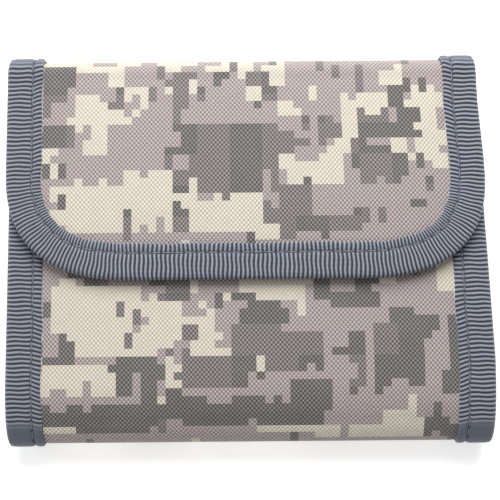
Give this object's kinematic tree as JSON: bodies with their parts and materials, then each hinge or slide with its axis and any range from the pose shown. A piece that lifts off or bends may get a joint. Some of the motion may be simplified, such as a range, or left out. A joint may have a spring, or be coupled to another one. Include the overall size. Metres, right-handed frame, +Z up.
{
  "type": "trifold wallet",
  "caption": "Closed tri-fold cloth wallet with a round-cornered flap over its front panel, bound edges, card and note pockets, and a zipped coin pocket.",
  "frame": {"origin": "centre of the closed wallet's underside, as it lies on its back", "axes": "+X across the wallet to its right as the flap is faced, +Y from the bottom fold to the top fold, +Z up out of the flap's outer face"},
  "size_m": [0.133, 0.107, 0.0185],
  "materials": {
    "camouflage_cloth": "coated polyester printed with sand, grey and dark grey blocks",
    "foam": "closed-cell foam",
    "lining_cloth": "plain-woven nylon",
    "binding_tape": "ribbed grosgrain",
    "pocket_cloth": "plain-woven nylon",
    "fastener_tape": "hook and loop pile",
    "zip_cloth": "woven zip tape",
    "zip_nylon": "moulded nylon coil",
    "zip_metal": "plated",
    "clear_film": "clear vinyl"
  },
  "bodies": {
    "back": {"back_shell": "camouflage_cloth", "back_foam": "foam", "back_lining": "lining_cloth", "back_binding_left": "binding_tape", "back_binding_right": "binding_tape", "note_pocket": "pocket_cloth", "card_pocket_rear": "pocket_cloth", "card_pocket_middle": "pocket_cloth", "card_pocket_front": "pocket_cloth"},
    "top_spine": {"top_spine_shell": "camouflage_cloth", "top_spine_lining": "lining_cloth", "top_spine_binding_left": "binding_tape", "top_spine_binding_right": "binding_tape"},
    "flap": {"flap_shell": "camouflage_cloth", "flap_foam": "foam", "flap_lining": "lining_cloth", "flap_binding": "binding_tape", "hook_strip": "fastener_tape"},
    "bottom_spine": {"bottom_spine_shell": "camouflage_cloth", "bottom_spine_lining": "lining_cloth", "bottom_spine_binding_left": "binding_tape", "bottom_spine_binding_right": "binding_tape"},
    "front_panel": {"front_shell": "camouflage_cloth", "front_foam": "foam", "front_lining": "lining_cloth", "front_binding": "binding_tape", "loop_strip": "fastener_tape", "coin_pocket_lower": "pocket_cloth", "coin_pocket_upper": "pocket_cloth", "zip_tape_upper": "zip_cloth", "zip_tape_lower": "zip_cloth", "zip_coil_upper": "zip_nylon", "zip_coil_lower": "zip_nylon", "zip_stop_left": "zip_metal", "zip_stop_right": "zip_metal", "window_film": "clear_film", "window_frame": "binding_tape"},
    "zip_slider": {"zip_slider_body": "zip_metal", "zip_pull": "zip_metal"}
  },
  "joints": [
    {"name": "top_fold", "type": "hinge", "parent": "back", "child": "top_spine", "pos_m": [0, 0.05286, 0.00064], "axis": [-1, 0, 0], "range_deg": [0, 90]},
    {"name": "flap_fold", "type": "hinge", "parent": "top_spine", "child": "flap", "pos_m": [0, 0.05286, 0.01786], "axis": [-1, 0, 0], "range_deg": [0, 90]},
    {"name": "bottom_fold", "type": "hinge", "parent": "back", "child": "bottom_spine", "pos_m": [0, -0.05221, 0.00129], "axis": [1, 0, 0], "range_deg": [0, 90]},
    {"name": "front_fold", "type": "hinge", "parent": "bottom_spine", "child": "front_panel", "pos_m": [0, -0.05221, 0.01321], "axis": [1, 0, 0], "range_deg": [0, 90]},
    {"name": "zip_slide", "type": "slide", "parent": "front_panel", "child": "zip_slider", "axis": [1, 0, 0], "range_m": [-0.076, 0]}
  ],
  "couplings": [
    {"joint": "flap_fold", "follows": "top_fold", "ratio": 1},
    {"joint": "front_fold", "follows": "bottom_fold", "ratio": 1}
  ]
}
